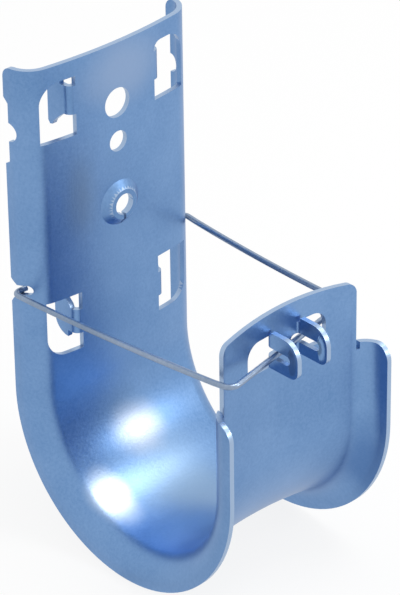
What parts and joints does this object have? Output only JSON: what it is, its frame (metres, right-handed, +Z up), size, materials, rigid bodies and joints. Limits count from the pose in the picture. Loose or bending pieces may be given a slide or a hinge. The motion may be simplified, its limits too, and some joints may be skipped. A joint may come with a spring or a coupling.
{
  "type": "j hook cable support",
  "caption": "Folded steel J hook that carries a bundle of cables in a round trough, with flared side flanges, a slotted mounting plate and a sprung wire bail across the top.",
  "frame": {"origin": "centre of the main screw hole, on the front face of the mounting plate", "axes": "+X along the cables, -Y from the plate towards the lip, +Z up the plate"},
  "size_m": [0.054, 0.0723, 0.1185],
  "materials": {
    "galvanised_sheet": "galvanised, satin",
    "spring_wire": "drawn wire, satin"
  },
  "bodies": {
    "hook": {"hook_body": "galvanised_sheet"},
    "retainer": {"retainer_wire": "spring_wire"}
  },
  "joints": [
    {"name": "retainer_hinge", "type": "hinge", "parent": "hook", "child": "retainer", "pos_m": [0, -0.05477, -0.0396], "axis": [0.976, 0.2176, -0.0117], "range_deg": [0, 100]}
  ]
}
